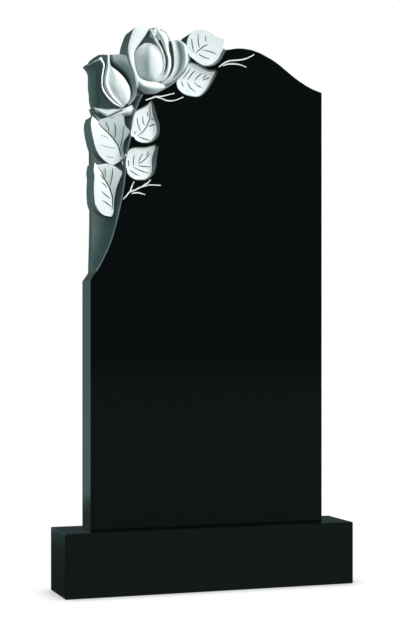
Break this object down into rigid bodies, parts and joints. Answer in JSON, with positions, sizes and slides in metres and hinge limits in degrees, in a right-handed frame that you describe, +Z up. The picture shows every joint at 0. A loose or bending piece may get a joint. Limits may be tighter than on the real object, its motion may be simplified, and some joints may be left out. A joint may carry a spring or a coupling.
{
  "type": "headstone",
  "caption": "Upright polished granite headstone with an S-shaped top, a carved spray of roses and leaves at its upper left corner, and a plain base block.",
  "frame": {"origin": "middle of the underside of the base block", "axes": "+Z up, -Y out of the polished front, +X to the right as seen from the front"},
  "size_m": [0.74, 0.15, 1.3703],
  "materials": {
    "carved_stone": "polished front, honed sides, frosted carving",
    "base_stone": "polished"
  },
  "bodies": {
    "root": {"stele": "carved_stone", "base": "base_stone"}
  },
  "joints": []
}
